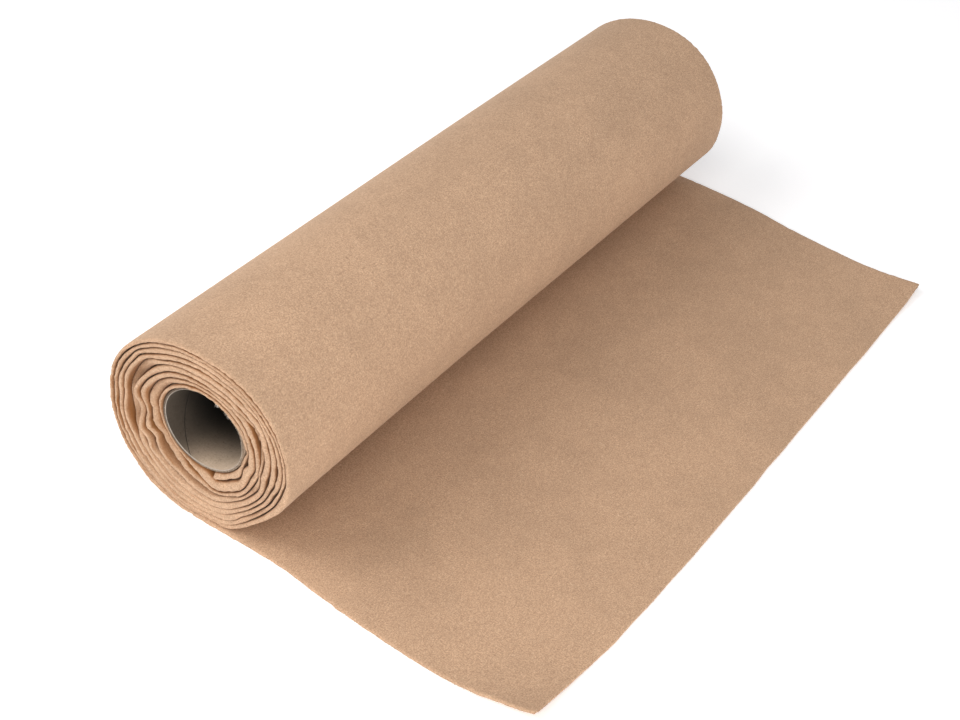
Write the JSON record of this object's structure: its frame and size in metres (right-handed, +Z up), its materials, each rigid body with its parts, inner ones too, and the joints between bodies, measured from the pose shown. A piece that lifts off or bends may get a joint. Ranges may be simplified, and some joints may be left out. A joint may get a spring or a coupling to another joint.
{
  "type": "roll of felt",
  "caption": "Roll of beige craft felt wound on a cardboard core, with its loose end lying out flat beside it.",
  "frame": {"origin": "centre of the part's box on the surface it lies on", "axes": "+Y along the roll's axis to the far end, +X towards the free edge of the loose end, +Z up"},
  "size_m": [0.2498, 0.4192, 0.1007],
  "materials": {
    "felt": "matte, fine fibres with light and dark flecks",
    "cardboard": "matte grey brown wound paper board"
  },
  "bodies": {
    "root": {"felt_roll": "felt", "loose_end": "felt", "core_tube": "cardboard"}
  },
  "joints": []
}
